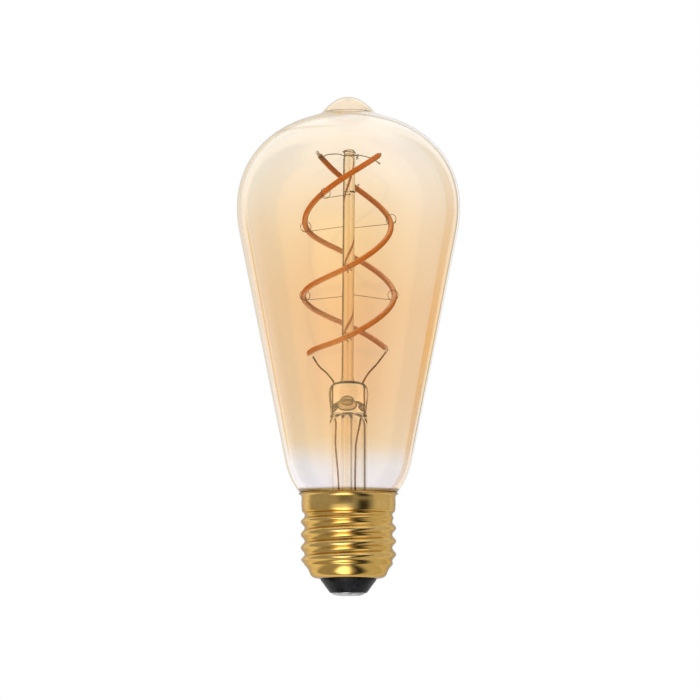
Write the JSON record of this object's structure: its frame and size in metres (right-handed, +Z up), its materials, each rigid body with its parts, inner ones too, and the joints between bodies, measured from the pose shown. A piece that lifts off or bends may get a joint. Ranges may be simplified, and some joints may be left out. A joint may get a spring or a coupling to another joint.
{
  "type": "smart light bulb",
  "caption": "Clear amber filament lamp, pear shaped, with flexible filaments wound round a glass rod and a wireless driver in its brass screw cap.",
  "frame": {"origin": "centre of the centre contact's flat lower face", "axes": "+Z up the lamp's axis from the cap to the glass tip; -Y is the front, the side shown in the picture; +X is to its right"},
  "size_m": [0.062, 0.062, 0.1385],
  "materials": {
    "amber_glass": "blown glass with an amber coating outside, polished",
    "clear_glass": "clear drawn and pressed glass",
    "silicone_phosphor": "orange phosphor-filled silicone, satin",
    "dark_wire": "thin nickel-plated wire, slightly oxidised",
    "copper_wire": "copper-clad wire, dull",
    "tin_plate": "tin-plated sheet, satin",
    "cap_brass": "spun brass, bright with fine turning lines",
    "insulator_black": "black glass-like insulator, satin",
    "contact_solder": "tinned contact, satin",
    "cement": "cured basing cement, chalky",
    "white_plastic": "moulded white plastic",
    "green_board": "circuit board with green solder mask",
    "black_body": "moulded black epoxy",
    "ferrite": "sintered ferrite, dull",
    "can_sleeve": "aluminium can in a dark sleeve",
    "resistor_coat": "lacquered ceramic, matt"
  },
  "bodies": {
    "root": {"glass_envelope": "amber_glass", "stem_flare_tube": "clear_glass", "exhaust_tube": "clear_glass", "support_rod": "clear_glass", "filament_a": "silicone_phosphor", "filament_b": "silicone_phosphor", "filament_a_upper_tab": "tin_plate", "filament_a_lower_tab": "tin_plate", "filament_b_upper_tab": "tin_plate", "filament_b_lower_tab": "tin_plate", "filament_link_wire": "dark_wire", "anchor_wire_1": "dark_wire", "anchor_wire_2": "dark_wire", "anchor_wire_3": "dark_wire", "anchor_wire_4": "dark_wire", "anchor_wire_5": "dark_wire", "anchor_wire_6": "dark_wire", "anchor_wire_7": "dark_wire", "anchor_wire_8": "dark_wire", "inner_lead_left": "dark_wire", "inner_lead_right": "dark_wire", "seal_wire_left": "copper_wire", "seal_wire_right": "copper_wire", "outer_lead_left": "copper_wire", "outer_lead_right": "copper_wire", "cap_shell": "cap_brass", "cap_insulator": "insulator_black", "centre_contact": "contact_solder", "basing_cement": "cement", "driver_cup": "white_plastic", "driver_board": "green_board", "input_capacitor": "can_sleeve", "output_capacitor": "can_sleeve", "choke_core": "ferrite", "choke_winding": "copper_wire", "fusible_resistor": "resistor_coat", "bridge_rectifier": "black_body", "driver_chip": "black_body", "wireless_module": "green_board", "wireless_shield": "tin_plate", "live_wire": "copper_wire", "neutral_wire": "copper_wire"}
  },
  "joints": []
}
